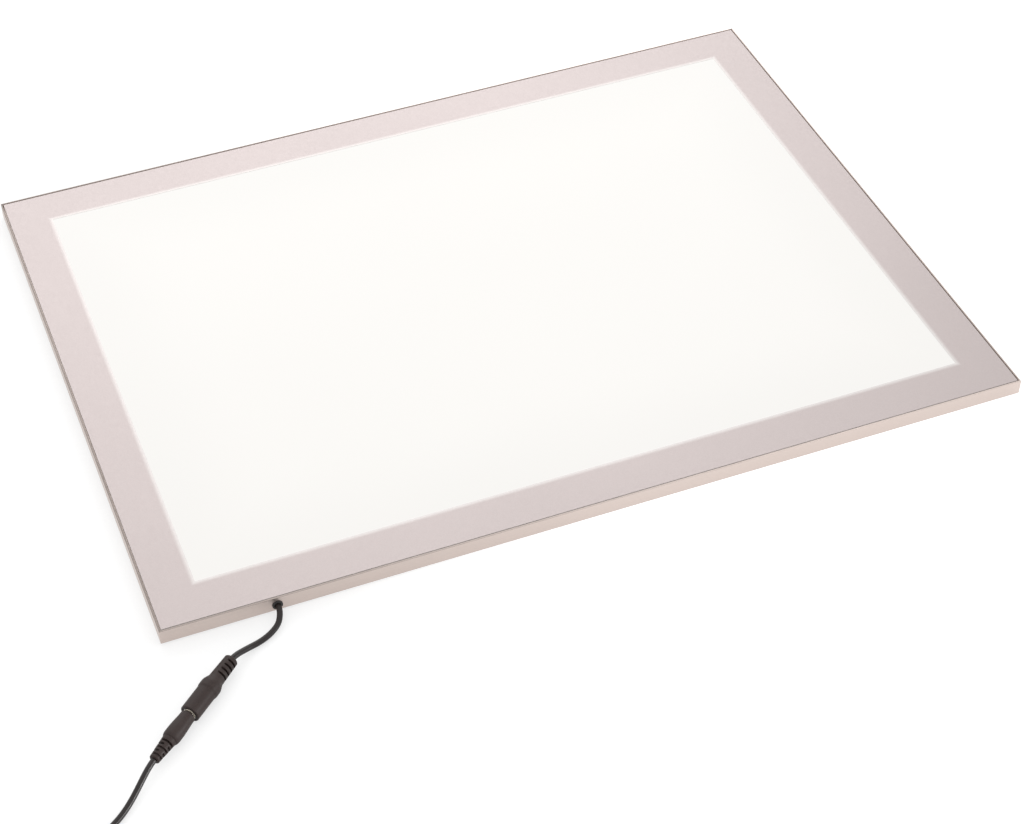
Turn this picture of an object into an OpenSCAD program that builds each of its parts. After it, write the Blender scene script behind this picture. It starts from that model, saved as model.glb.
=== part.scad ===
// Slim LED tracing pad with its low-voltage lead, in-line power connector and wall adapter.
// Millimetres. The origin is the middle of the pad's footprint on the table, +Z up,
// +X along the long side, and the power lead leaves through the front side, which faces -Y.

/* [Lit window] */
// Width of the lit drawing area
lit_w = 420; // [210:1:600]
// Depth of the lit drawing area
lit_d = 297; // [148:1:420]
// Width of the opaque border round the lit area
border_w = 23.6; // [20:0.1:40]

/* [Frame rails] */
// Thickness of the rail's outer wall, which shows as a rim round the face
wall_t = 0.8; // [0.6:0.1:2]
// Gap between the rim and the face sheet
rim_gap = 0.6; // [0.2:0.1:1]
// How far the rim stands above the border
rim_proud = 0.15; // [0.05:0.05:0.5]
// Inward width of the hollow rail
rail_w = 7; // [6:0.5:10]
// Thickness of the rail's inner web
web_t = 1; // [0.8:0.1:1.5]
// Thickness of the ledge that carries the face sheet
ledge_t = 1; // [0.8:0.1:1.2]
// Thickness of the bottom flange that takes the screws
flange_t = 1; // [0.8:0.1:1.2]
// Length of each arm of a corner key
key_arm = 28; // [24:1:40]
// Clearance between a corner key and the hollow rail
key_gap = 0.05; // [0.02:0.01:0.1]

/* [Sheets and plates] */
// Thickness of the opal face sheet
face_t = 2; // [1.5:0.1:3]
// Thickness of the silver border layer on the face sheet
print_t = 0.15; // [0.1:0.05:0.5]
// Thickness of the diffuser film
diffuser_t = 0.3; // [0.2:0.05:0.5]
// Thickness of the light guide plate
guide_t = 4; // [3.6:0.1:5]
// Thickness of the white reflector film
reflector_t = 0.3; // [0.2:0.05:0.5]
// Thickness of the foam that presses the stack up
foam_t = 0.6; // [0.4:0.1:1]
// Thickness of the back plate
plate_t = 1; // [0.8:0.1:1.5]
// Thickness of the soft strip behind the light guide
bumper_t = 0.8; // [0.5:0.1:1.5]
// Width of the wiring channel along the front rail
channel_w = 14; // [13:0.5:16]
// Thickness of the bar between the channel and the light guide
stop_t = 1.5; // [1:0.1:2]

/* [Light strips] */
// Thickness of a strip board
strip_t = 1; // [0.8:0.1:1.2]
// Height of a strip board
strip_h = 3.6; // [3:0.1:3.8]
// Length of an LED along the strip
led_l = 4; // [3:0.1:5]
// Height of an LED
led_h = 2; // [1.4:0.1:2.8]
// Thickness of an LED
led_t = 0.8; // [0.6:0.1:1]
// Gap between the LEDs and the edge of the light guide
led_gap = 0.2; // [0.1:0.05:0.5]
// Number of LEDs on each strip
led_count = 30; // [10:1:40]

/* [Feet and screws] */
// Height of the rubber feet
foot_h = 1; // [0.5:0.1:3]
// Diameter of the rubber feet
foot_d = 12; // [8:0.5:20]
// Distance of a foot's centre from the two nearest sides
foot_inset = 24; // [16:1:60]
// Shank diameter of the back screws
screw_d = 2; // [1.6:0.1:2.4]
// Head diameter of the back screws
screw_head_d = 3.4; // [3:0.1:3.6]
// Length of the back screws
screw_l = 4; // [3:0.1:5]
// Clearance round the screws
screw_gap = 0.06; // [0.03:0.01:0.1]
// Distance of the last screw from the rail's end
screw_inset = 18; // [14:1:22]
// Number of screws along each long rail
screws_long = 5; // [3:1:9]
// Number of screws along each short rail
screws_short = 4; // [3:1:9]

/* [Driver] */
// Length of the driver board
driver_l = 40; // [30:1:60]
// Width of the driver board
driver_w = 10; // [9:0.5:10]
// Thickness of the driver board
driver_t = 1; // [0.8:0.1:1.6]
// Thickness of the insulating pad under the driver board
driver_pad_t = 0.4; // [0.2:0.1:0.8]
// Diameter of the inner wires
wire_d = 1; // [0.8:0.1:1]

/* [Power lead] */
// Diameter of the lead and of the adapter's cord
lead_d = 3; // [2.6:0.1:3.2]
// Distance of the lead's exit from the left side
exit_inset = 59; // [50:1:120]
// Clearance between the lead and the holes that it runs through
lead_gap = 0.05; // [0.02:0.01:0.1]
// Diameter of the grommet in the wall
grommet_d = 4.4; // [4:0.1:5]
// Diameter of the grommet's outer flange
grommet_flange_d = 5.4; // [5:0.1:6.5]
// Thickness of the grommet's outer flange
grommet_flange_t = 0.6; // [0.4:0.1:1]
// Diameter of the crimped collar that keeps the lead from being pulled out
collar_d = 4.6; // [4.2:0.1:5]
// Length of that collar
collar_l = 3; // [2:0.5:4]

/* [Socket on the lead] */
// Length of the socket's ribbed strain relief
socket_relief_l = 13.2; // [10:0.1:25]
// Thin-end diameter of the socket's strain relief
socket_relief_d1 = 7; // [6:0.1:8]
// Thick-end diameter of the socket's strain relief
socket_relief_d2 = 7.8; // [7:0.1:9]
// Number of slots along the socket's strain relief
socket_slots = 4; // [2:1:5]
// Distance from slot to slot in the socket's strain relief
socket_slot_pitch = 2.8; // [2:0.1:3]
// Distance of its first slot from the thin end
socket_slot_start = 2.9; // [1.5:0.1:4]
// Width of the two unslotted spines along it
socket_spine_w = 3.6; // [3:0.1:5.5]
// Roll of the socket about its axis, as it lies
socket_roll = 30; // [-90:1:90]
// Length of the flared shoulder
socket_flare_l = 5; // [2:0.1:8]
// Diameter of the raised grip ring
socket_ring_d = 10.5; // [10:0.1:13]
// Length of the raised grip ring at its full diameter
socket_ring_l = 2.4; // [1:0.1:6]
// Length over which the grip ring falls to the body
socket_fall_l = 2; // [1:0.1:5]
// Diameter of the socket's body
socket_d = 9.8; // [9.2:0.1:10]
// Length of the socket's body
socket_l = 13.8; // [13:0.1:20]
// Outer diameter of the insulating core
core_d = 7.6; // [7.4:0.1:8]
// Outer diameter of the contact sleeve
sleeve_d = 6.4; // [6.2:0.1:6.6]
// Depth of the socket
socket_depth = 10.4; // [10:0.1:12]
// Diameter of the centre pin
pin_d = 2; // [1.8:0.1:2]
// How far the centre pin stays behind the mouth
pin_recess = 1.4; // [1:0.1:2]
// Radial running clearance of the plug in the socket
plug_gap = 0.05; // [0.02:0.01:0.1]
// Clearance between moulded-in pieces
seat_gap = 0.05; // [0.02:0.01:0.1]

/* [Plug] */
// Outer diameter of the plug's barrel
barrel_d = 5.5; // [5.3:0.1:5.6]
// Length of the barrel that stands out of the grip
barrel_l = 9.5; // [9:0.1:10]
// Length of barrel that still shows when the plug is home
barrel_shows = 1.3; // [0.5:0.1:1.5]
// Wall of the barrel
barrel_wall = 0.45; // [0.3:0.05:0.6]
// Outer diameter of the inner contact
contact_d = 2.8; // [2.6:0.1:3]
// Length of barrel and contact moulded into the grip
plug_root_l = 6; // [4:0.1:8]
// Front diameter of the grip
grip_d1 = 7.4; // [7:0.1:8.4]
// Widest diameter of the grip
grip_d2 = 8.6; // [8.5:0.1:10]
// Length over which the grip swells
grip_swell_l = 10.6; // [8:0.1:16]
// Length of the grip at its widest
grip_flat_l = 2.2; // [1:0.1:6]
// Length of the round shoulder at the grip's end
grip_shoulder_l = 2.6; // [1.5:0.1:5]
// Length of the plug's ribbed strain relief
plug_relief_l = 12.9; // [8:0.1:20]
// Thick-end diameter of the plug's strain relief
plug_relief_d1 = 7.1; // [6:0.1:8]
// Thin-end diameter of the plug's strain relief
plug_relief_d2 = 5.2; // [5:0.1:6]
// Number of slots along the plug's strain relief
plug_slots = 5; // [2:1:5]
// Distance from slot to slot in the plug's strain relief
plug_slot_pitch = 2.05; // [1.8:0.05:2.4]
// Distance of its first slot from the thin end
plug_slot_start = 1.8; // [1.5:0.1:4]
// Roll of the plug about its axis, as it lies
plug_roll = -33; // [-90:1:90]
// Width of the slots in the strain reliefs
slot_w = 1.1; // [0.8:0.1:1.2]
// Width of the webs that cross a slot
web_w = 2.4; // [0.8:0.1:2.8]
// Diameter of the core left between the slots
slot_core_d = 4.2; // [4:0.1:4.6]
// Chamfer at the thin end of a strain relief and at the socket's mouth
moulded_edge = 0.4; // [0.2:0.1:0.4]

/* [Coil] */
// Radius of the outermost turn, at the middle of the cord
coil_r_out = 23; // [20:0.5:30]
// Radius of the innermost turn, at the middle of the cord
coil_r_in = 13; // [10:0.5:15]
// Turns in each layer
layer_turns = 2.8125; // [2.3125:0.5:2.8125]
// Height from layer to layer
layer_step = 3.45; // [3.4:0.05:4]
// Width of the tie round the coil
tie_w = 8; // [5:0.5:12]
// Thickness of the tie
tie_t = 0.5; // [0.4:0.1:0.8]
// Clearance between the tie and the cord
tie_gap = 0.2; // [0.1:0.05:0.5]

/* [Wall adapter] */
// Length of the adapter's housing along the cord
adapter_l = 60; // [50:1:80]
// Depth of the housing, along the mains pins
adapter_d = 36; // [30:1:45]
// Height of the housing as it lies
adapter_h = 26; // [24:1:36]
// Corner radius of the housing
adapter_r = 4; // [2:0.5:6]
// Wall of the housing
adapter_wall = 2; // [1.5:0.1:3]
// Gap at the parting line of the housing
parting_gap = 0.1; // [0.05:0.05:0.3]
// Length of the adapter's strain relief
adapter_relief_l = 12; // [8:0.5:20]
// Number of slots along the adapter's strain relief
adapter_slots = 3; // [2:1:3]
// Distance from slot to slot in the adapter's strain relief, and of the first from the thin end
adapter_slot_pitch = 3; // [2:0.1:4]
// Diameter of the mains pins
mains_pin_d = 4; // [4:0.1:4.8]
// Length of the mains pins
mains_pin_l = 19; // [17:0.5:20]
// Distance between the mains pins
mains_pin_pitch = 19; // [17:0.5:19]
// Length of the insulating sleeve on a pin
mains_sleeve_l = 10; // [8:0.5:11]
// Diameter of the insulating sleeve, a little under the bare pin's
mains_sleeve_d = 3.6; // [3.4:0.1:3.7]
// Wall of the insulating sleeve
mains_sleeve_t = 0.5; // [0.4:0.1:0.8]

/* [Hidden] */
$fn = 48;

// Colours
aluminium_c = [0.80, 0.77, 0.75];
silver_c = [0.84, 0.81, 0.80];
opal_c = [0.98, 0.98, 0.96];
clear_c = [0.86, 0.92, 0.94];
white_c = [0.95, 0.95, 0.95];
black_c = [0.13, 0.12, 0.12];
rubber_c = [0.18, 0.17, 0.17];
nickel_c = [0.82, 0.80, 0.76];
steel_c = [0.66, 0.66, 0.68];
board_c = [0.10, 0.34, 0.20];
foam_c = [0.30, 0.30, 0.32];
red_c = [0.72, 0.12, 0.10];
phosphor_c = [0.95, 0.85, 0.35];

// Plan of the frame and of what lies inside its rim
frame_w = lit_w + 2 * (border_w + rim_gap + wall_t);
frame_d = lit_d + 2 * (border_w + rim_gap + wall_t);
sheet_w = frame_w - 2 * (wall_t + rim_gap);
sheet_d = frame_d - 2 * (wall_t + rim_gap);

// Heights of the stack, from the feet up
plate_z = foot_h;
foam_z = plate_z + plate_t;
reflector_z = foam_z + foam_t;
guide_z = reflector_z + reflector_t;
diffuser_z = guide_z + guide_t;
face_z = diffuser_z + diffuser_t;
print_z = face_z + face_t;
rim_z = print_z + print_t + rim_proud;

// Hollow of the rails, between the flange and the ledge
hollow_z0 = foam_z + flange_t;
hollow_z1 = face_z - ledge_t;
hollow_w = rail_w - wall_t - web_t;
screw_line = wall_t + hollow_w / 2;

// Plan of the light guide and of the films under and over it
guide_w = frame_w - 2 * (rail_w + strip_t + led_t + led_gap);
guide_y0 = -frame_d / 2 + rail_w + channel_w;
guide_y1 = frame_d / 2 - rail_w - bumper_t;
guide_d = guide_y1 - guide_y0;

// Light strips on the inner webs of the two short rails
strip_x = frame_w / 2 - rail_w;
strip_reach = 10;
strip_y0 = guide_y0 - strip_reach;
strip_mid_z = guide_z + guide_t / 2;
led_margin = 6;

// Where the lead leaves the front wall
exit_x = -frame_w / 2 + exit_inset;
exit_y = -frame_d / 2;
exit_z = (hollow_z0 + hollow_z1) / 2;

// Driver board in the wiring channel, right of the lead
driver_offset = 15;
driver_x = exit_x + driver_offset;
driver_y = exit_y + rail_w + (channel_w - stop_t - driver_w) / 2;
driver_top = foam_z + driver_pad_t + driver_t;
terminal_size = [7, 5.5, 2.8];
terminal_inset = 1;
terminal_y = exit_y + 12.5;
wire_y = [exit_y + 14, exit_y + 16];

// The connector's own frame: it starts where the lead enters the socket and runs along +X
connector_at = [-30.85, -25.3];
connector_turn = 221;
axis_z = socket_ring_d / 2;
socket_flare_x = socket_relief_l;
socket_ring_x = socket_flare_x + socket_flare_l;
socket_fall_x = socket_ring_x + socket_ring_l;
socket_x = socket_fall_x + socket_fall_l;
mouth_x = socket_x + socket_l;
core_back = 1.6;
socket_end_x = mouth_x - socket_depth;
core_x = socket_end_x - core_back;
core_recess = 0.3;
grip_x = mouth_x + barrel_shows;
barrel_x = grip_x - barrel_l;
grip_shoulder_x = grip_swell_l + grip_flat_l;
grip_l = grip_shoulder_x + grip_shoulder_l;
plug_end_x = grip_x + grip_l + plug_relief_l;
pin_hole_d = pin_d + 2 * plug_gap;

// Route of the lead from the collar inside the frame to the socket, from the exit point
lead_run = lead_d / 2;
lead_points = [
    [0, 11, exit_z], [0, 6, exit_z], [0, 0, exit_z], [0, -3, 4.4], [-1, -6.5, 3.6],
    [-3, -10, 2.8], [-6.5, -13, 2.2], [-10.5, -15.3, 1.9], [-15.2, -17.2, 1.9],
    [-20, -18.9, 2.5], [-24.6, -21.2, 3.9], [-27.1, -22.7, 4.8],
    [connector_at.x - lead_run * cos(connector_turn), connector_at.y - lead_run * sin(connector_turn), axis_z],
    [connector_at.x, connector_at.y, axis_z]
];

// Route of the adapter's cord from the plug to the coil, in the connector's frame
cord_points = [
    [plug_end_x, 0, axis_z], [69, 0, axis_z], [74, 0.6, 4.9], [80, 1.4, 4], [86, 2.1, 2.9],
    [92, 2.5, 2.1], [98, 2.5, 1.6], [106, 1.6, 1.6], [114, 0.1, 1.6], [122, -1.4, 1.8],
    [128, -2, 2.1], [132, -2, 2.2], [135, -2, 2.2]
];

// Coil: middle of its turns and height of its lowest layer
coil_at = [138, 21];
coil_z = tie_t + tie_gap + lead_d / 2;
coil_layers = 4;
coil_steps = 24;
coil_top_z = coil_z + (coil_layers - 1) * layer_step;

// Route of the cord from the top of the coil into the adapter, in the connector's frame
tail_points = [
    [161, 24, coil_top_z], [161, 27, coil_top_z], [161, 30, 12.4], [161, 33, 12.4], [161, 36, 12.7],
    [161, 39, adapter_h / 2], [161, 42, adapter_h / 2]
];
tail_end = tail_points[len(tail_points) - 1];
adapter_at = tail_end + [0, adapter_relief_l, 0];

// Vectors and sweeps
function unit(v) = v / norm(v);
function smooth(f) = f <= 0 ? 0 : f >= 1 ? 1 : f * f * (3 - 2 * f);
function heading(p, i) =
    i == 0 ? unit(p[1] - p[0])
    : i == len(p) - 1 ? unit(p[i] - p[i - 1])
    : unit(unit(p[i] - p[i - 1]) + unit(p[i + 1] - p[i]));
function ring(at, along, r, sides) =
    let (right = unit(cross(along, [0, 0, 1])), up = cross(right, along))
    [for (k = [0 : sides - 1]) at + r * (cos(360 * k / sides) * right + sin(360 * k / sides) * up)];

// A solid tube along a route, closed with flat ends
module tube(route, d, sides) {
    last = (len(route) - 1) * sides;
    polyhedron(
        points = [for (i = [0 : len(route) - 1]) each ring(route[i], heading(route, i), d / 2, sides)],
        faces = [
            for (k = [1 : sides - 2]) [0, k + 1, k],
            for (i = [0 : len(route) - 2], k = [0 : sides - 1])
                let (a = i * sides + k, b = i * sides + (k + 1) % sides)
                each [[a, b, b + sides], [a, b + sides, a + sides]],
            for (k = [1 : sides - 2]) [last, last + k, last + k + 1]
        ]
    );
}

// Middle line of the coil: in and out again, layer on layer, climbing where the spiral reverses
function coil_radius(turn) =
    let (layer = min(floor(turn / layer_turns), coil_layers - 1), f = turn / layer_turns - layer)
    layer % 2 == 0 ? coil_r_out + f * (coil_r_in - coil_r_out) : coil_r_in + f * (coil_r_out - coil_r_in);
function coil_height(turn, k = 1) =
    k == coil_layers ? coil_z
    : layer_step * smooth(2 * (turn - k * layer_turns) + 0.5) + coil_height(turn, k + 1);
function coil_point(turn) =
    let (r = coil_radius(turn), a = 360 * turn - 90)
    [coil_at.x + r * cos(a), coil_at.y + r * sin(a), coil_height(turn)];
coil_turns = coil_layers * layer_turns;
coil_rings = round(coil_turns * coil_steps);
coil_middle = [for (i = [0 : coil_rings]) coil_point(coil_turns * i / coil_rings)];
coil_points = concat(
    [coil_middle[0] - [lead_d, 0, 0]],
    coil_middle,
    [coil_middle[coil_rings] + [0, lead_d, 0]]
);
coil_least = min([
    for (i = [0 : len(coil_points) - 1], j = [i + coil_steps / 2 : 1 : len(coil_points) - 1])
        norm(coil_points[i] - coil_points[j])
]) - lead_d;
function route_length(p) = sum([for (i = [1 : len(p) - 1]) norm(p[i] - p[i - 1])]);
function sum(v, i = 0) = i == len(v) ? 0 : v[i] + sum(v, i + 1);
echo(coil_gap = coil_least, coil_length = route_length(coil_points));

// Placing helpers
module at_exit() translate([exit_x, exit_y, 0]) children();
module at_connector() at_exit() translate(connector_at) rotate(connector_turn) children();
module on_axis(x) at_connector() translate([x, 0, axis_z]) rotate([0, 90, 0]) children();
module at_adapter() at_connector() translate(adapter_at) children();
module at_corners(x, y)
    for (sx = [-1, 1], sy = [-1, 1]) translate([sx * x, sy * y, 0]) children();
module each_corner()
    for (mx = [0, 1], my = [0, 1]) mirror([mx, 0, 0]) mirror([0, my, 0]) children();

// Places of the back screws: along each rail, on the middle of its hollow
function along(length, count, i) = (length / 2 - screw_inset) * (2 * i / (count - 1) - 1);
module on_screws() {
    for (s = [0, 180], i = [0 : screws_long - 1])
        rotate(s) translate([along(frame_w, screws_long, i), -frame_d / 2 + screw_line, 0]) children();
    for (s = [90, 270], i = [0 : screws_short - 1])
        rotate(s) translate([along(frame_d, screws_short, i), -frame_w / 2 + screw_line, 0]) children();
}
module screw_shape(gap) {
    head_h = (screw_head_d - screw_d) / 2;
    cylinder(d1 = screw_head_d + 2 * gap, d2 = screw_d + 2 * gap, h = head_h);
    cylinder(d = screw_d + 2 * gap, h = screw_l + gap);
}
module screw_holes() translate([0, 0, plate_z]) on_screws() screw_shape(screw_gap);

// Hollow rail with mitred ends, lying along X with its outer face on Y = 0
module rail_section() {
    translate([0, plate_z]) square([wall_t, rim_z - plate_z]);
    translate([0, foam_z]) square([rail_w, flange_t]);
    translate([0, hollow_z1]) square([rail_w, ledge_t]);
    translate([rail_w - web_t, foam_z]) square([web_t, face_z - foam_z]);
}
module rail_bar(length) {
    intersection() {
        rotate([90, 0, 90]) linear_extrude(length, center = true) rail_section();
        linear_extrude(rim_z)
            polygon([
                [-length / 2, 0], [length / 2, 0],
                [length / 2 - rail_w, rail_w], [-length / 2 + rail_w, rail_w]
            ]);
    }
}
module rail(length, offset_y, turn) {
    color(aluminium_c) difference() {
        rotate(turn) translate([0, -offset_y, 0]) rail_bar(length);
        screw_holes();
    }
}
module front_rail() {
    difference() {
        rail(frame_w, frame_d / 2, 0);
        at_exit() translate([0, 0, exit_z]) rotate([-90, 0, 0]) {
            cylinder(d = grommet_d + 2 * seat_gap, h = wall_t);
            cylinder(d = lead_d + 2 * lead_gap, h = rail_w);
        }
    }
}
module right_rail() rail(frame_d, frame_w / 2, 90);
module rear_rail() rail(frame_w, frame_d / 2, 180);
module left_rail() rail(frame_d, frame_w / 2, 270);

// L-shaped keys that lock the mitred corners from inside the hollows
module corner_keys() {
    key_w = hollow_w - 2 * key_gap;
    key_h = hollow_z1 - hollow_z0 - 2 * key_gap;
    key_at = wall_t + key_gap;
    color(steel_c) difference() {
        each_corner() translate([key_at - frame_w / 2, key_at - frame_d / 2, hollow_z0 + key_gap]) {
            cube([key_arm, key_w, key_h]);
            cube([key_w, key_arm, key_h]);
        }
        screw_holes();
    }
}

// Back plate inside the walls, on the rails' flanges
module back_plate() {
    color(aluminium_c) difference() {
        translate([-sheet_w / 2, -sheet_d / 2, plate_z]) cube([sheet_w, sheet_d, plate_t]);
        screw_holes();
    }
}
module back_screws() {
    slot = [screw_head_d * 0.6, 0.4, 0.6];
    color(steel_c) translate([0, 0, plate_z]) on_screws() difference() {
        screw_shape(0);
        for (a = [0, 90]) rotate(a) cube(slot, center = true);
    }
}
module feet() {
    edge = foot_h * 0.4;
    color(rubber_c) at_corners(frame_w / 2 - foot_inset, frame_d / 2 - foot_inset) {
        cylinder(d1 = foot_d - 2 * edge, d2 = foot_d, h = edge);
        translate([0, 0, edge]) cylinder(d = foot_d, h = foot_h - edge);
    }
}

// Face sheet, its silver border and the light stack under it
module face_sheet()
    color(opal_c) translate([-sheet_w / 2, -sheet_d / 2, face_z]) cube([sheet_w, sheet_d, face_t]);
module border_print() {
    color(silver_c) translate([0, 0, print_z]) linear_extrude(print_t) difference() {
        square([sheet_w, sheet_d], center = true);
        square([lit_w, lit_d], center = true);
    }
}
module guide_layer(z, t) translate([-guide_w / 2, guide_y0, z]) cube([guide_w, guide_d, t]);
module diffuser_film() color(white_c) guide_layer(diffuser_z, diffuser_t);
module light_guide() color(clear_c) guide_layer(guide_z, guide_t);
module reflector_film() color(white_c) guide_layer(reflector_z, reflector_t);
module foam_pad() color(foam_c) guide_layer(foam_z, foam_t);
module guide_stop() {
    color(black_c) translate([-guide_w / 2, guide_y0 - stop_t, foam_z])
        cube([guide_w, stop_t, face_z - foam_z]);
}
module rear_bumper() {
    color(foam_c) translate([-guide_w / 2, guide_y1, guide_z]) cube([guide_w, bumper_t, guide_t]);
}

// Light strips, the left one drawn and the right one mirrored
module strip_board() {
    translate([-strip_x, strip_y0, strip_mid_z - strip_h / 2])
        cube([strip_t, guide_y1 - strip_y0, strip_h]);
}
module strip_leds() {
    run = guide_d - 2 * led_margin - led_l;
    for (i = [0 : led_count - 1])
        translate([
            -strip_x + strip_t,
            guide_y0 + led_margin + run * i / (led_count - 1),
            strip_mid_z - led_h / 2
        ]) cube([led_t, led_l, led_h]);
}
module led_board_left() color(white_c) strip_board();
module leds_left() color(phosphor_c) strip_leds();
module led_board_right() color(white_c) mirror([1, 0, 0]) strip_board();
module leds_right() color(phosphor_c) mirror([1, 0, 0]) strip_leds();

// Constant-current driver in the wiring channel
module driver_pad() {
    color(foam_c) translate([driver_x, driver_y, foam_z]) cube([driver_l, driver_w, driver_pad_t]);
}
module driver_board() {
    color(board_c) translate([driver_x, driver_y, driver_top - driver_t])
        cube([driver_l, driver_w, driver_t]);
}
module driver_parts() {
    part_h = 2.2;
    choke_d = 6;
    choke_x = 14;
    chip = [5, 4, 1.5];
    chip_x = 20;
    chip_cap = [2.5, 3.2, part_h];
    chip_cap_x = [28, 32];
    color(black_c) translate([driver_x, 0, driver_top]) {
        translate([terminal_inset, terminal_y, 0]) cube(terminal_size);
        translate([0, driver_y + driver_w / 2, 0]) {
            translate([choke_x, 0, 0]) cylinder(d = choke_d, h = part_h);
            translate([chip_x, -chip.y / 2, 0]) cube(chip);
            for (x = chip_cap_x) translate([x, -chip_cap.y / 2, 0]) cube(chip_cap);
        }
    }
}

// Wires along the channel floor from the driver to both light strips
module led_wires() {
    wire_z = foam_z + wire_d / 2 + 0.05;
    strip_face = strip_x - strip_t;
    color(red_c) for (y = wire_y) {
        translate([-strip_face, y, wire_z]) rotate([0, 90, 0])
            cylinder(d = wire_d, h = driver_x + strip_face);
        translate([driver_x + driver_l, y, wire_z]) rotate([0, 90, 0])
            cylinder(d = wire_d, h = strip_face - driver_x - driver_l);
    }
}

// Two bare conductors' jackets from the lead's end into the driver's terminal block
module lead_wires() {
    terminal_x = driver_offset + terminal_inset;
    inner = [
        [0.65, 11, exit_z], [0.65, 12.2, exit_z], [1.3, 13.4, exit_z], [2.6, 14.2, exit_z],
        [4.5, 14.4, exit_z], [8, 14.4, exit_z], [terminal_x, 14.4, exit_z]
    ];
    outer = [
        [-0.65, 11, exit_z], [-0.65, 12.6, exit_z], [0.2, 14.6, exit_z], [2, 15.8, exit_z],
        [4.5, 16, exit_z], [8, 16, exit_z], [terminal_x, 16, exit_z]
    ];
    color(red_c) at_exit() for (route = [inner, outer]) tube(route, wire_d, 8);
}

// Lead through the front wall: grommet outside, crimped collar inside
module lead_ring(d, l) {
    rotate([-90, 0, 0]) difference() {
        cylinder(d = d, h = l);
        cylinder(d = lead_d + 2 * lead_gap, h = l);
    }
}
module lead_collar() {
    color(steel_c) at_exit() translate([0, rail_w, exit_z]) lead_ring(collar_d, collar_l);
}
module lead_grommet() {
    color(rubber_c) at_exit() translate([0, 0, exit_z]) {
        translate([0, -grommet_flange_t, 0]) lead_ring(grommet_flange_d, grommet_flange_t);
        lead_ring(grommet_d, wall_t);
    }
}
module pad_lead() color(black_c) at_exit() tube(lead_points, lead_d, 8);

// Half outlines of turned pieces, as radius and place along the axis
function swell(x, l, d1, d2, steps = 6) =
    [for (i = [0 : steps]) let (f = i / steps) [(d1 + (d2 - d1) * smooth(f)) / 2, x + l * f]];
function shoulder(x, l, d1, d2, steps = 6) =
    [for (i = [0 : steps]) let (a = 90 * i / steps) [(d2 + (d1 - d2) * cos(a)) / 2, x + l * sin(a)]];

// Pairs of slots in a row along +Z, each pair parted by a core and two webs and turned from the one before
module slots(count, start, pitch, web, turn, across) {
    for (i = [0 : count - 1])
        translate([0, 0, start + i * pitch]) rotate(i * turn) difference() {
            cylinder(d = across, h = slot_w, center = true);
            cylinder(d = slot_core_d, h = slot_w, center = true);
            cube([across, web, slot_w], center = true);
        }
}

// Strain relief from its thin end along +Z, less the slots that are its children
module relief(thin_d, thick_d, l) {
    difference() {
        rotate_extrude()
            polygon([
                [0, 0], [thin_d / 2 - moulded_edge, 0], [thin_d / 2, moulded_edge],
                [thick_d / 2, l], [0, l]
            ]);
        children();
    }
}

// In-line socket at the end of the pad's lead
module socket_shell() {
    outline = concat(
        [[0, socket_flare_x]],
        swell(socket_flare_x, socket_flare_l, socket_relief_d2, socket_ring_d),
        swell(socket_fall_x, socket_fall_l, socket_ring_d, socket_d),
        [[socket_d / 2, mouth_x - moulded_edge], [socket_d / 2 - moulded_edge, mouth_x], [0, mouth_x]]
    );
    color(black_c) on_axis(0) difference() {
        union() {
            relief(socket_relief_d1, socket_relief_d2, socket_relief_l)
                rotate(socket_roll)
                slots(socket_slots, socket_slot_start, socket_slot_pitch, socket_spine_w, 0, socket_ring_d);
            rotate_extrude() polygon(outline);
        }
        translate([0, 0, core_x - seat_gap])
            cylinder(d = core_d + 2 * seat_gap, h = mouth_x - core_x + seat_gap);
    }
}
module socket_core() {
    color(rubber_c) on_axis(0) difference() {
        translate([0, 0, core_x]) cylinder(d = core_d, h = mouth_x - core_recess - core_x);
        translate([0, 0, socket_end_x]) cylinder(d = sleeve_d + 2 * seat_gap, h = socket_depth);
        translate([0, 0, core_x]) cylinder(d = pin_d + 2 * seat_gap, h = core_back);
    }
}
module socket_sleeve() {
    color(nickel_c) on_axis(socket_end_x) difference() {
        cylinder(d = sleeve_d, h = socket_depth);
        cylinder(d = barrel_d + 2 * plug_gap, h = socket_depth);
    }
}
module socket_pin() {
    tip = pin_d / 4;
    length = mouth_x - pin_recess - core_x;
    color(nickel_c) on_axis(core_x) {
        cylinder(d = pin_d, h = length - tip);
        translate([0, 0, length - tip]) cylinder(d1 = pin_d, d2 = pin_d / 2, h = tip);
    }
}

// Barrel plug on the adapter's cord, shown fully home
module plug_grip() {
    outline = concat(
        [[0, 0]],
        swell(0, grip_swell_l, grip_d1, grip_d2),
        shoulder(grip_shoulder_x, grip_shoulder_l, grip_d2, plug_relief_d1),
        [[0, grip_l]]
    );
    color(black_c) on_axis(grip_x) difference() {
        union() {
            rotate_extrude() polygon(outline);
            translate([0, 0, grip_l + plug_relief_l]) mirror([0, 0, 1])
                relief(plug_relief_d2, plug_relief_d1, plug_relief_l)
                    rotate(90 + plug_roll)
                    slots(plug_slots, plug_slot_start, plug_slot_pitch, web_w, 90, grip_d2);
        }
        cylinder(d = barrel_d + 2 * seat_gap, h = plug_root_l + seat_gap);
    }
}
module plug_tube(d, bore) {
    on_axis(barrel_x) difference() {
        cylinder(d = d, h = barrel_l + plug_root_l);
        cylinder(d = bore, h = barrel_l + plug_root_l);
    }
}
module plug_barrel() color(nickel_c) plug_tube(barrel_d, barrel_d - 2 * barrel_wall);
module plug_liner()
    color(rubber_c) plug_tube(barrel_d - 2 * barrel_wall - 2 * seat_gap, contact_d + 2 * seat_gap);
module plug_contact() color(nickel_c) plug_tube(contact_d, pin_hole_d);

// Adapter's cord: plug to coil, coil, coil to adapter
module adapter_lead() color(black_c) at_connector() tube(cord_points, lead_d, 8);
module lead_coil() color(black_c) at_connector() tube(coil_points, lead_d, 6);
module lead_tail() color(black_c) at_connector() tube(tail_points, lead_d, 8);

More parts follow.
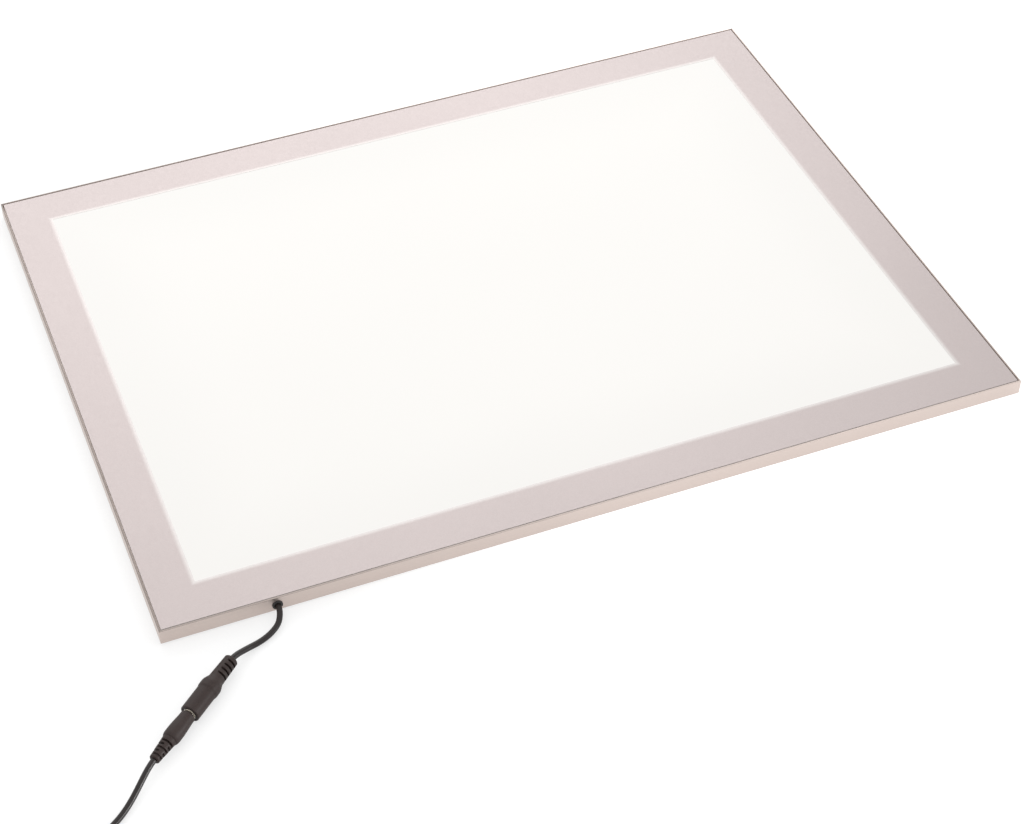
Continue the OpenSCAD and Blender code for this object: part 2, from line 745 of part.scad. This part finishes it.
// Tie round the turns, on the side of the coil away from the adapter's cord
module rounded(w, h, r) {
    square([w - 2 * r, h], center = true);
    square([w, h - 2 * r], center = true);
    for (x = [-1, 1], y = [-1, 1]) translate([x * (w / 2 - r), y * (h / 2 - r)]) circle(r);
}
module coil_tie() {
    bow = coil_r_in - sqrt(coil_r_in * coil_r_in - tie_w * tie_w / 4);
    near = coil_r_in - lead_d / 2 - bow - tie_gap;
    far = coil_r_out + lead_d / 2 + tie_gap;
    high = (coil_layers - 1) * layer_step + lead_d + 2 * tie_gap;
    color(rubber_c) at_connector()
        translate([coil_at.x - (near + far) / 2, coil_at.y + tie_w / 2, tie_t + high / 2])
        rotate([90, 0, 0]) linear_extrude(tie_w) difference() {
            rounded(far - near + 2 * tie_t, high + 2 * tie_t, lead_d / 2 + tie_t);
            rounded(far - near, high, lead_d / 2);
        }
}

// Wall adapter lying on its side: cord end towards -Y, mains pins towards +X
module adapter_block(shrink) {
    w = adapter_d - 2 * shrink;
    l = adapter_l - 2 * shrink;
    h = adapter_h - 2 * shrink;
    r = max(adapter_r - shrink, 1);
    translate([0, adapter_l / 2, 0]) intersection() {
        linear_extrude(h, center = true) rounded(w, l, r);
        rotate([90, 0, 0]) linear_extrude(l, center = true) rounded(w, h, r);
        rotate([0, 90, 0]) linear_extrude(w, center = true) rounded(h, l, r);
    }
}
relief_thin_d = lead_d + 1.6;
relief_d = lead_d + 3;
relief_root_d = lead_d + 4.5;
module relief_seat() rotate([-90, 0, 0]) cylinder(d = relief_d + 2 * seat_gap, h = adapter_wall);
module adapter_half(side) {
    color(black_c) at_adapter() difference() {
        adapter_block(0);
        adapter_block(adapter_wall);
        translate([-side * adapter_d, adapter_l / 2, 0])
            cube([2 * adapter_d + parting_gap, 2 * adapter_l, 2 * adapter_h], center = true);
        relief_seat();
        if (side > 0) at_mains_pins()
            cylinder(d = mains_sleeve_d + 2 * seat_gap, h = adapter_d, center = true);
    }
}
module adapter_base() adapter_half(1);
module adapter_cover() adapter_half(-1);
module adapter_relief() {
    color(black_c) at_adapter() rotate([-90, 0, 0]) {
        translate([0, 0, -adapter_relief_l])
            relief(relief_thin_d, relief_d, adapter_relief_l)
                slots(adapter_slots, adapter_slot_pitch, adapter_slot_pitch, web_w, 90, relief_root_d);
        cylinder(d = relief_d, h = adapter_wall);
        translate([0, 0, adapter_wall + seat_gap]) cylinder(d = relief_root_d, h = adapter_wall);
        cylinder(d = relief_d, h = 2 * adapter_wall);
    }
}
module at_mains_pins() {
    for (s = [-1, 1])
        translate([adapter_d / 2, adapter_l / 2 + s * mains_pin_pitch / 2, 0]) rotate([0, 90, 0]) children();
}
module mains_pins() {
    root = 2 * adapter_wall;
    tip = mains_pin_d / 4;
    neck_d = mains_sleeve_d - 2 * mains_sleeve_t - 2 * seat_gap;
    color(nickel_c) at_adapter() at_mains_pins() {
        translate([0, 0, -root]) cylinder(d = neck_d, h = mains_pin_l);
        translate([0, 0, mains_sleeve_l + seat_gap])
            cylinder(d = mains_pin_d, h = mains_pin_l - mains_sleeve_l - seat_gap - tip);
        translate([0, 0, mains_pin_l - tip]) cylinder(d1 = mains_pin_d, d2 = mains_pin_d / 2, h = tip);
    }
}
module pin_sleeves() {
    color(rubber_c) at_adapter() at_mains_pins() translate([0, 0, -adapter_wall]) difference() {
        cylinder(d = mains_sleeve_d, h = mains_sleeve_l + adapter_wall);
        cylinder(d = mains_sleeve_d - 2 * mains_sleeve_t, h = mains_sleeve_l + adapter_wall);
    }
}

// Converter board inside the adapter, standing on the base's inner wall
board_inset = 3;
board_t = 1.2;
board_x = adapter_d / 2 - 2 * adapter_wall - board_t;
module adapter_board() {
    w = adapter_h - 2 * adapter_wall - board_inset;
    l = adapter_l - 2 * adapter_wall - 4 * board_inset;
    color(board_c) at_adapter() translate([board_x, adapter_l / 2 - l / 2, -w / 2]) cube([board_t, l, w]);
}
module adapter_transformer() {
    core = [14, 18, 15];
    color(steel_c) at_adapter()
        translate([board_x - core.x, adapter_l / 2 - core.y / 2, -core.z / 2]) cube(core);
}

front_rail();
right_rail();
rear_rail();
left_rail();
corner_keys();
back_plate();
back_screws();
feet();
face_sheet();
border_print();
diffuser_film();
light_guide();
reflector_film();
foam_pad();
guide_stop();
rear_bumper();
led_board_left();
leds_left();
led_board_right();
leds_right();
driver_pad();
driver_board();
driver_parts();
led_wires();
lead_wires();
lead_collar();
lead_grommet();
pad_lead();
socket_shell();
socket_core();
socket_sleeve();
socket_pin();
plug_grip();
plug_barrel();
plug_liner();
plug_contact();
adapter_lead();
lead_coil();
lead_tail();
coil_tie();
adapter_base();
adapter_cover();
adapter_relief();
mains_pins();
pin_sleeves();
adapter_board();
adapter_transformer();
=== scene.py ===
import math

import bpy
from mathutils import Matrix, Vector


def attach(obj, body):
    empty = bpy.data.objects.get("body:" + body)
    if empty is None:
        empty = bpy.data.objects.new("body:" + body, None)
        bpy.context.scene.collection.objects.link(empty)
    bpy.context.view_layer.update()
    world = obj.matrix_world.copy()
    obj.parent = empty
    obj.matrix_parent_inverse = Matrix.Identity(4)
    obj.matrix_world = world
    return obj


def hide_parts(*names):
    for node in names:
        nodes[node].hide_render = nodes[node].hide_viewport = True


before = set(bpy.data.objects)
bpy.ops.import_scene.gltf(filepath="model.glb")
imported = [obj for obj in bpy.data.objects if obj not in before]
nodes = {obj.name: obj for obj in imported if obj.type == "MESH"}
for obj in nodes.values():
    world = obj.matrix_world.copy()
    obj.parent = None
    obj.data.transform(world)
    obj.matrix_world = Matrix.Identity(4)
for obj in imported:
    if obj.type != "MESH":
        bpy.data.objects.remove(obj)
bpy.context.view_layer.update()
scene = bpy.context.scene
MM = 0.001

# Camera: the photograph's viewing angle, for an image of 1024 by 824
IMAGE_W = 1024
FOCAL_PX = 2226.2
PRINCIPAL_X = 430
SENSOR_MM = 36
CAMERA_AT = Vector((-0.3347, -0.8657, 0.8258))
AZIMUTH = math.radians(19.115)
ELEVATION = math.radians(44.49)
ROLL = math.radians(-1.756)


def make_camera():
    forward = Vector((
        math.sin(AZIMUTH) * math.cos(ELEVATION),
        math.cos(AZIMUTH) * math.cos(ELEVATION),
        -math.sin(ELEVATION),
    ))
    level = Vector((math.cos(AZIMUTH), -math.sin(AZIMUTH), 0))
    upright = level.cross(forward)
    right = math.cos(ROLL) * level + math.sin(ROLL) * upright
    up = math.cos(ROLL) * upright - math.sin(ROLL) * level
    data = bpy.data.cameras.new("camera")
    data.sensor_width = SENSOR_MM
    data.lens = SENSOR_MM * FOCAL_PX / IMAGE_W
    data.shift_x = (IMAGE_W / 2 - PRINCIPAL_X) / IMAGE_W
    camera = bpy.data.objects.new("camera", data)
    turn = Matrix((right, up, -forward)).transposed().to_4x4()
    camera.matrix_world = Matrix.Translation(CAMERA_AT) @ turn
    scene.collection.objects.link(camera)
    scene.camera = camera


make_camera()
scene.view_settings.view_transform = "Standard"

# Cords: where they start and how long they are, in millimetres but for the lengths in metres
LEAD_D = 3.0
LEAD_RUN = LEAD_D / 2
EXIT = Vector((-176, -173.5, 0))
EXIT_Z = 4.6
CONNECTOR_AT = EXIT + Vector((-30.85, -25.3, 0))
CONNECTOR_TURN = math.radians(221)
AXIS_Z = 5.25
PLUG_END_X = 66
ALONG = Vector((math.cos(CONNECTOR_TURN), math.sin(CONNECTOR_TURN), 0))
ACROSS = Vector((-ALONG.y, ALONG.x, 0))
UP = Vector((0, 0, 1))

# Coil: layers wound inwards and outwards in turn, each climbing onto the last
COIL_AT = (138, 21)
COIL_Z = 2.2
COIL_R_OUT = 23
COIL_R_IN = 13
COIL_LAYERS = 4
LAYER_TURNS = 2.8125
LAYER_STEP = 3.45
CLIMB_TURNS = 0.5
COIL_STEPS = 24
COIL_TOP_Z = COIL_Z + (COIL_LAYERS - 1) * LAYER_STEP

# Routes: the pad's lead from the wall, and the adapter's cord before and after the coil
LEAD_ROUTE = [
    (0, 11, EXIT_Z), (0, 6, EXIT_Z), (0, 0, EXIT_Z), (0, -3, 4.4), (-1, -6.5, 3.6),
    (-3, -10, 2.8), (-6.5, -13, 2.2), (-10.5, -15.3, 1.9), (-15.2, -17.2, 1.9),
    (-20, -18.9, 2.5), (-24.6, -21.2, 3.9), (-27.1, -22.7, 4.8),
]
CORD_ROUTE = [
    (PLUG_END_X, 0, AXIS_Z), (69, 0, AXIS_Z), (74, 0.6, 4.9), (80, 1.4, 4), (86, 2.1, 2.9),
    (92, 2.5, 2.1), (98, 2.5, 1.6), (106, 1.6, 1.6), (114, 0.1, 1.6), (122, -1.4, 1.8),
    (128, -2, 2.1), (132, -2, 2.2), (135, -2, 2.2),
]
TAIL_ROUTE = [
    (161, 24, COIL_TOP_Z), (161, 27, COIL_TOP_Z), (161, 30, 12.4), (161, 33, 12.4),
    (161, 36, 12.7), (161, 39, 13), (161, 42, 13),
]

# Curves: steps between two points of the lead's route, and a curve's steps and order
LEAD_PARTS = 3
CURVE_STEPS = 3
ROUND_STEPS = 5
CURVE_ORDER = 4


def from_connector(x, y, z):
    """A point of the connector's frame, in millimetres, as a point of the part in metres."""
    return (CONNECTOR_AT + x * ALONG + y * ACROSS + z * UP) * MM


def smooth(f):
    """A soft step from 0 to 1."""
    f = min(max(f, 0.0), 1.0)
    return f * f * (3 - 2 * f)


def coil_point(turn):
    """The cord's middle after so many turns of the coil."""
    layer = min(int(turn / LAYER_TURNS), COIL_LAYERS - 1)
    f = turn / LAYER_TURNS - layer
    inward = f if layer % 2 == 0 else 1 - f
    r = COIL_R_OUT + inward * (COIL_R_IN - COIL_R_OUT)
    a = math.tau * turn - math.pi / 2
    ends = [k * LAYER_TURNS for k in range(1, COIL_LAYERS)]
    z = COIL_Z + LAYER_STEP * sum(smooth((turn - end) / CLIMB_TURNS + 0.5) for end in ends)
    return (COIL_AT[0] + r * math.cos(a), COIL_AT[1] + r * math.sin(a), z)


def softened(points, parts):
    """Points on a smooth curve through the given ones, with that many steps between two."""
    made = []
    for i in range(len(points) - 1):
        p0 = points[max(i - 1, 0)]
        p1 = points[i]
        p2 = points[i + 1]
        p3 = points[min(i + 2, len(points) - 1)]
        m1 = (p2 - p0) / 2
        m2 = (p3 - p1) / 2
        for k in range(parts):
            t = k / parts
            made.append(
                (2 * t**3 - 3 * t**2 + 1) * p1 + (t**3 - 2 * t**2 + t) * m1
                + (3 * t**2 - 2 * t**3) * p2 + (t**3 - t**2) * m2
            )
    return made + [points[-1]]


def cord_curve(name, points):
    """A round cord along the points, which carry its radius, so that its box is true."""
    data = bpy.data.curves.new(name, "CURVE")
    data.dimensions = "3D"
    data.bevel_depth = 1.0
    data.bevel_resolution = ROUND_STEPS
    data.use_fill_caps = True
    spline = data.splines.new("NURBS")
    spline.points.add(len(points) - 1)
    for point, at in zip(spline.points, points):
        point.co = (*at, 1)
        point.radius = LEAD_D / 2 * MM
    spline.order_u = CURVE_ORDER
    spline.use_endpoint_u = True
    spline.resolution_u = CURVE_STEPS
    piece = bpy.data.objects.new(name, data)
    scene.collection.objects.link(piece)
    return piece


lead_points = [(EXIT + Vector(p)) * MM for p in LEAD_ROUTE]
lead_points += [from_connector(-LEAD_RUN, 0, AXIS_Z), from_connector(0, 0, AXIS_Z)]
pad_cord = cord_curve("pad_cord", softened(lead_points, LEAD_PARTS))
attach(pad_cord, "pad")
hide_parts("pad_lead")

coil_rings = round(COIL_LAYERS * LAYER_TURNS * COIL_STEPS)
coil_route = [coil_point(i / COIL_STEPS) for i in range(coil_rings + 1)]
cord_points = [from_connector(*p) for p in CORD_ROUTE + coil_route + TAIL_ROUTE]
power_cord = cord_curve("power_cord", cord_points)
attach(power_cord, "power_lead")
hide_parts("adapter_lead", "lead_coil", "lead_tail")

# Node trees: the colour sockets of a mixing node, and the span that holds most of a noise's values
MIX_A = 6
MIX_B = 7
MIX_RESULT = 2
NOISE_SPAN = (0.3, 0.7)


def tint(colour, factor):
    return tuple(min(c * factor, 1.0) for c in colour)


class Look:
    """A material with a Principled shader, and short ways to feed its sockets."""

    def __init__(self, name, **values):
        self.material = bpy.data.materials.new(name)
        self.material.use_nodes = True
        self.tree = self.material.node_tree
        self.tree.nodes.clear()
        self.shader = self.add("ShaderNodeBsdfPrincipled")
        output = self.add("ShaderNodeOutputMaterial")
        self.link(self.shader.outputs[0], output.inputs["Surface"])
        for socket, value in values.items():
            self.shader.inputs[socket.replace("_", " ")].default_value = value
        self.place = self.add("ShaderNodeTexCoord").outputs["Object"]

    def add(self, kind, **settings):
        node = self.tree.nodes.new(kind)
        for key, value in settings.items():
            setattr(node, key, value)
        return node

    def link(self, source, target):
        self.tree.links.new(source, target)

    def feed(self, node, socket, value):
        """Links an output to a socket, or sets the socket to a plain value."""
        if isinstance(value, bpy.types.NodeSocket):
            self.link(value, node.inputs[socket])
        else:
            node.inputs[socket].default_value = value

    def axes(self):
        """The piece's own X, Y and Z, in metres."""
        node = self.add("ShaderNodeSeparateXYZ")
        self.link(self.place, node.inputs[0])
        return node.outputs

    def scaled(self, waves):
        """Places times a number, or times one number for each of X, Y and Z."""
        node = self.add("ShaderNodeMapping")
        self.link(self.place, node.inputs["Vector"])
        node.inputs["Scale"].default_value = waves if isinstance(waves, tuple) else (waves,) * 3
        return node.outputs[0]

    def noise(self, waves, detail=2.0):
        """Noise with so many waves in a metre."""
        node = self.add("ShaderNodeTexNoise")
        self.link(self.scaled(waves), node.inputs["Vector"])
        node.inputs["Scale"].default_value = 1.0
        node.inputs["Detail"].default_value = detail
        return node.outputs["Fac"]

    def cells(self, waves, output="Distance", feature="F1"):
        """Irregular cells, so many in a metre."""
        node = self.add("ShaderNodeTexVoronoi", feature=feature)
        self.link(self.scaled(waves), node.inputs["Vector"])
        node.inputs["Scale"].default_value = 1.0
        return node.outputs[output]

    def math(self, operation, *values):
        node = self.add("ShaderNodeMath", operation=operation)
        for socket, value in enumerate(values):
            self.feed(node, socket, value)
        return node.outputs[0]

    def mixed(self, a, b, share):
        """A share of one value, and of another what is left to a whole."""
        return self.math("MULTIPLY_ADD", a, share, self.math("MULTIPLY", b, 1 - share))

    def spread(self, factor, low, high, span=(0.0, 1.0)):
        """A soft step from low to high, while the factor goes through the span."""
        node = self.add("ShaderNodeMapRange", interpolation_type="SMOOTHSTEP")
        self.feed(node, "Value", factor)
        self.feed(node, "From Min", span[0])
        self.feed(node, "From Max", span[1])
        self.feed(node, "To Min", low)
        self.feed(node, "To Max", high)
        return node.outputs[0]

    def shades(self, factor, colour, dark, pale, span=NOISE_SPAN):
        """A darker to a paler shade of the colour, while the factor goes through the span."""
        node = self.add("ShaderNodeValToRGB")
        for element, at, shade in zip(node.color_ramp.elements, span, (dark, pale)):
            element.position = at
            element.color = (*tint(colour, shade), 1)
        self.link(factor, node.inputs[0])
        return node.outputs[0]

    def blend(self, factor, a, b):
        """One colour where the factor is 0, another where it is 1."""
        node = self.add("ShaderNodeMix", data_type="RGBA")
        self.feed(node, "Factor", factor)
        for socket, value in ((MIX_A, a), (MIX_B, b)):
            plain_colour = isinstance(value, tuple)
            self.feed(node, socket, (*value, 1) if plain_colour else value)
        return node.outputs[MIX_RESULT]

    def colour(self, value):
        self.link(value, self.shader.inputs["Base Color"])

    def roughness(self, value):
        self.link(value, self.shader.inputs["Roughness"])

    def glow(self, value):
        self.link(value, self.shader.inputs["Emission Strength"])

    def bump(self, height, depth_mm, strength):
        node = self.add("ShaderNodeBump")
        node.inputs["Distance"].default_value = depth_mm * MM
        node.inputs["Strength"].default_value = strength
        self.link(height, node.inputs["Height"])
        self.link(node.outputs[0], self.shader.inputs["Normal"])

    def outside_window(self):
        """Distance from the edge of the lit window, less than nothing inside it."""
        place = self.axes()
        x = self.math("SUBTRACT", self.math("ABSOLUTE", place["X"]), WINDOW_X)
        y = self.math("SUBTRACT", self.math("ABSOLUTE", place["Y"]), WINDOW_Y)
        return self.math("MAXIMUM", x, y)


# Lit window: half its sides, its light, how that falls off, the painted glow on the border's inner
# edge, what reaches the sheet edge, and the sheet edge's painted shade
WINDOW_X = 0.210
WINDOW_Y = 0.1485
GLOW_COLOUR = (1.0, 0.98, 0.945, 1.0)
GLOW_LEVEL = 0.672
GLOW_AT_EDGE = 0.97
GLOW_FADE = (-0.06, 0.0)
LIT_FADE = (0.004, 0.012)
# Painted light: a glow on the border's inner edge, with its colour, strength and width
BORDER_PAINTED_GLOW_COLOUR = (0.84, 0.98, 0.945, 1.0)
BORDER_PAINTED_GLOW = 0.24
BORDER_PAINTED_GLOW_W = 0.0028
EDGE_LEAK = 0.2
OPAL = (0.900, 0.890, 0.875)
OPAL_SHADE = 0.22
# Painted shade: a dark grey for the sheet's edge, standing in for the shadow in the gap at the
# rails
SHEET_EDGE_PAINTED_SHADE = (0.380, 0.340, 0.325)

# Metals, and the rails' top edge: its painted shade, growing paler from left to right as painted
# light, and where it lies
SILVER = (0.468, 0.414, 0.406)
CHAMPAGNE = (0.620, 0.532, 0.490)
NICKEL = (0.660, 0.615, 0.555)
STEEL = (0.560, 0.550, 0.540)
BACK = (0.600, 0.590, 0.580)
# Painted shade on the rails' top edge at its left and right ends, for rails along X and along Y,
# paling to the right as painted light
RIM_PAINTED_SHADE_X = (0.48, 0.92)
RIM_PAINTED_SHADE_Y = (0.40, 0.76)
RIM_PAINTED_SPAN_X = (-0.235, 0.235)
RIM_Z = (0.0092, 0.0094)

# Plastics, films, board and wires
CORD = (0.013, 0.0085, 0.0080)
MOULDED = (0.033, 0.0215, 0.0193)
RUBBER = (0.030, 0.028, 0.028)
BLACK = (0.020, 0.020, 0.021)
ADAPTER = (0.026, 0.025, 0.026)
FOAM = (0.10, 0.10, 0.11)
FILM = (0.86, 0.86, 0.86)
CLEAR = (0.93, 0.97, 0.98)
DOT_WHITE = (0.98, 0.98, 0.98)
SOLDER_MASK = (0.015, 0.10, 0.045)
TRACK = (0.04, 0.19, 0.07)
PHOSPHOR = (0.85, 0.66, 0.16)
WIRE_RED = (0.45, 0.03, 0.025)


def brushed(name, colour, lines, painted_rim_shade=(1.0, 1.0)):
    """Anodised metal with fine drawing lines along one axis, and painted shade on its top edge
    that grows paler to the right as painted light.
    """
    look = Look(name, Metallic=1.0)
    fine = look.noise(lines)
    streak = look.mixed(fine, look.noise(waves=9), share=0.7)
    sides = look.shades(streak, colour, dark=0.93, pale=1.05, span=(0.25, 0.75))
    place = look.axes()
    # Painted shade: the top edge is darker than the sides, and paler towards the right as painted
    # light
    top = look.spread(place["Z"], 0.0, 1.0, RIM_Z)
    painted_light_across = look.spread(place["X"], 0.0, 1.0, RIM_PAINTED_SPAN_X)
    edge = look.blend(painted_light_across, tint(colour, painted_rim_shade[0]), tint(colour, painted_rim_shade[1]))
    look.colour(look.blend(top, sides, edge))
    look.roughness(look.spread(fine, 0.34, 0.46, NOISE_SPAN))
    look.bump(fine, depth_mm=0.02, strength=0.25)
    return look.material


def satin_border(name):
    """Silver satin layer round the window, with a fine grain and a painted glow at its inner edge.
    """
    look = Look(name, Metallic=0.85, Emission_Color=BORDER_PAINTED_GLOW_COLOUR)
    grain = look.noise(waves=1900)
    cloudy = look.mixed(grain, look.noise(waves=7), share=0.6)
    look.colour(look.shades(cloudy, SILVER, dark=0.96, pale=1.04))
    look.roughness(look.spread(look.cells(waves=2600, output="Color"), 0.40, 0.50))
    look.bump(grain, depth_mm=0.01, strength=0.3)
    # Painted light: the border is no lamp, yet glows at its inner edge
    look.glow(look.spread(look.outside_window(), BORDER_PAINTED_GLOW, 0.0, (0.0, BORDER_PAINTED_GLOW_W)))
    return look.material


def metal(name, colour, low, high, waves):
    """Bare metal, a little uneven in colour and polish."""
    look = Look(name, Metallic=1.0)
    worn = look.noise(waves, detail=4.0)
    look.colour(look.shades(worn, colour, dark=0.88, pale=1.08))
    look.roughness(look.spread(worn, low, high, NOISE_SPAN))
    look.bump(worn, depth_mm=0.01, strength=0.3)
    return look.material


def opal_face(name):
    """Opal acrylic that glows inside the window, and faintly at the outer edge of the sheet, which
    is a dark grey there as painted shade.
    """
    look = Look(name, Roughness=0.4, Emission_Color=GLOW_COLOUR)
    outside = look.outside_window()
    lit = look.spread(outside, 1.0, 0.0, LIT_FADE)
    fade = look.spread(outside, 1.0, GLOW_AT_EDGE, GLOW_FADE)
    cloud = look.spread(look.noise(waves=6), 0.99, 1.01)
    shine = look.spread(lit, EDGE_LEAK, 1.0)
    power = look.math("MULTIPLY", look.math("MULTIPLY", shine, fade), cloud)
    look.glow(look.math("MULTIPLY", power, GLOW_LEVEL))
    # Outside the window the sheet takes the dark grey of painted shade
    look.colour(look.blend(lit, SHEET_EDGE_PAINTED_SHADE, tint(OPAL, OPAL_SHADE)))
    look.bump(look.noise(waves=1500), depth_mm=0.005, strength=0.2)
    return look.material


def light_guide(name):
    """Clear acrylic with a lattice of printed dots."""
    look = Look(name, Transmission_Weight=0.9, IOR=1.49)
    dots = look.spread(look.cells(waves=400), 1.0, 0.0, (0.25, 0.35))
    look.colour(look.blend(dots, CLEAR, DOT_WHITE))
    look.roughness(look.spread(dots, 0.05, 0.5))
    return look.material


def board(name):
    """Green solder mask over paler copper tracks."""
    look = Look(name, Roughness=0.35)
    gaps = look.cells(waves=500, feature="DISTANCE_TO_EDGE")
    track = look.spread(gaps, 1.0, 0.0, (0.03, 0.08))
    look.colour(look.blend(track, SOLDER_MASK, TRACK))
    look.bump(track, depth_mm=0.03, strength=0.5)
    return look.material


def plain(name, colour, low, high, waves, vary, depth_mm=0.02, **values):
    """A plastic or rubber with a mottled colour, roughness and surface."""
    look = Look(name, **values)
    mottle = look.noise(waves, detail=3.0)
    look.colour(look.shades(mottle, colour, dark=1 - vary, pale=1 + vary))
    look.roughness(look.spread(mottle, low, high, NOISE_SPAN))
    look.bump(mottle, depth_mm, strength=0.5)
    return look.material


# Mottled materials: colour, lowest and highest roughness, waves in a metre, and how much they vary
MOTTLED = {
    "white_film": dict(colour=FILM, low=0.35, high=0.5, waves=300, vary=0.03),
    "foam": dict(colour=FOAM, low=0.85, high=0.95, waves=1800, vary=0.3, depth_mm=0.15),
    "rubber": dict(colour=RUBBER, low=0.55, high=0.75, waves=900, vary=0.2, depth_mm=0.03),
    "cord_pvc": dict(
        colour=CORD, low=0.28, high=0.38, waves=700, vary=0.18, Specular_IOR_Level=0.4
    ),
    "moulded_pvc": dict(
        colour=MOULDED, low=0.45, high=0.60, waves=1600, vary=0.25, depth_mm=0.06,
        Specular_IOR_Level=0.28,
    ),
    "black_plastic": dict(colour=BLACK, low=0.35, high=0.5, waves=1200, vary=0.15),
    "adapter_plastic": dict(
        colour=ADAPTER, low=0.45, high=0.6, waves=1300, vary=0.2, depth_mm=0.06
    ),
    "phosphor": dict(colour=PHOSPHOR, low=0.4, high=0.55, waves=900, vary=0.08),
    "red_wire": dict(colour=WIRE_RED, low=0.35, high=0.5, waves=600, vary=0.12),
}
materials = {
    # Rails along X and along Y carry different painted shade on their top edge
    "anodised_x": brushed("anodised_x", CHAMPAGNE, lines=(25, 2200, 2200), painted_rim_shade=RIM_PAINTED_SHADE_X),
    "anodised_y": brushed("anodised_y", CHAMPAGNE, lines=(2200, 25, 2200), painted_rim_shade=RIM_PAINTED_SHADE_Y),
    "back_metal": brushed("back_metal", BACK, lines=(18, 1400, 1400)),
    "nickel": metal("nickel", NICKEL, low=0.16, high=0.28, waves=350),
    "steel": metal("steel", STEEL, low=0.28, high=0.42, waves=500),
    "silver_border": satin_border("silver_border"),
    "opal_face": opal_face("opal_face"),
    "clear_acrylic": light_guide("clear_acrylic"),
    "circuit_board": board("circuit_board"),
}
for name, values in MOTTLED.items():
    materials[name] = plain(name, **values)

# The rails' drawing lines follow their length
ALONG_X = ("front_rail", "rear_rail")
for name, piece in nodes.items():
    slot = piece.data.materials[0].name.split(".")[0]
    if slot == "anodised_rail":
        slot = "anodised_x" if name in ALONG_X else "anodised_y"
    piece.material_slots[0].material = materials[slot]
for piece in (pad_cord, power_cord):
    piece.data.materials.append(materials["cord_pvc"])

# Softened edges, in millimetres
EDGES = {
    "front_rail": 0.2, "right_rail": 0.2, "rear_rail": 0.2, "left_rail": 0.2,
    "back_plate": 0.15, "feet": 0.15, "lead_grommet": 0.15,
    "socket_shell": 0.25, "socket_core": 0.1, "socket_sleeve": 0.08,
    "plug_grip": 0.25, "plug_barrel": 0.08,
    "coil_tie": 0.12, "adapter_base": 0.2, "adapter_cover": 0.2, "adapter_relief": 0.2,
    "mains_pins": 0.2,
}
SHARP = math.radians(32)
WELD_GAP = 0.002
EDGE_STEPS = 2


def soften_edges(piece, width):
    weld = piece.modifiers.new("weld", "WELD")
    weld.merge_threshold = WELD_GAP * MM
    bevel = piece.modifiers.new("soft_edges", "BEVEL")
    bevel.width = width * MM
    bevel.segments = EDGE_STEPS
    bevel.limit_method = "ANGLE"
    bevel.angle_limit = SHARP
    bevel.harden_normals = True
    normals = piece.modifiers.new("even_normals", "WEIGHTED_NORMAL")
    normals.keep_sharp = True


for name, width in EDGES.items():
    soften_edges(nodes[name], width)

# Floor and world: a white floor whose glow, seen but not lighting anything, rises to the right as
# painted light that the front wall reflects
FLOOR_HALF = 6.0
FLOOR_GREY = (0.42, 0.42, 0.42, 1)
# The floor's glow at the left and the right, and where it rises: painted light for the front
# wall's reflection
FLOOR_GLOW_PAINTED_RISE = (0.60, 0.95)
FLOOR_PAINTED_RISE_X = (-0.20, 0.04)
WHITE = (1, 1, 1, 1)
WORLD_LEVEL = 1.0


def make_floor():
    mesh = bpy.data.meshes.new("floor")
    corners = [
        (-FLOOR_HALF, -FLOOR_HALF, 0), (FLOOR_HALF, -FLOOR_HALF, 0),
        (FLOOR_HALF, FLOOR_HALF, 0), (-FLOOR_HALF, FLOOR_HALF, 0),
    ]
    mesh.from_pydata(corners, [], [(0, 1, 2, 3)])
    floor = bpy.data.objects.new("floor", mesh)
    scene.collection.objects.link(floor)
    look = Look(
        "floor", Base_Color=FLOOR_GREY, Roughness=1.0, Specular_IOR_Level=0.0, Emission_Color=WHITE
    )
    rays = look.add("ShaderNodeLightPath").outputs
    direct = look.math("MAXIMUM", rays["Is Camera Ray"], rays["Is Glossy Ray"])
    seen = look.math("MAXIMUM", direct, rays["Is Transmission Ray"])
    # Painted light: the glow rises to the right, so that the front wall reflects a brighter right
    # half
    painted_rise = look.spread(look.axes()["X"], *FLOOR_GLOW_PAINTED_RISE, FLOOR_PAINTED_RISE_X)
    look.glow(look.math("MULTIPLY", seen, painted_rise))
    mesh.materials.append(look.material)


def make_world(level):
    world = bpy.data.worlds.new("studio")
    scene.world = world
    world.use_nodes = True
    background = world.node_tree.nodes["Background"]
    background.inputs["Color"].default_value = WHITE
    background.inputs["Strength"].default_value = level


def softbox(name, at, target, width, height, power, beam=180):
    """A lamp that faces its target, with its power in watts and its beam in degrees."""
    data = bpy.data.lights.new(name, "AREA")
    data.spread = math.radians(beam)
    data.shape = "RECTANGLE"
    data.size = width
    data.size_y = height
    data.energy = power
    lamp = bpy.data.objects.new(name, data)
    lamp.location = at
    aim = Vector(target) - Vector(at)
    lamp.rotation_mode = "QUATERNION"
    lamp.rotation_quaternion = aim.to_track_quat("-Z", "Y")
    scene.collection.objects.link(lamp)


make_floor()
make_world(WORLD_LEVEL)
softbox(
    "back_panel", at=(0.44, 1.85, 1.37), target=(0.22, 0, 0),
    width=1.85, height=1.5, power=13.3,
)
softbox(
    "cord_fill", at=(0.20, -0.46, 0.10), target=(-0.27, -0.28, 0),
    width=0.12, height=0.12, power=0.034, beam=24,
)


def write_sizes():
    bpy.context.view_layer.update()


write_sizes()
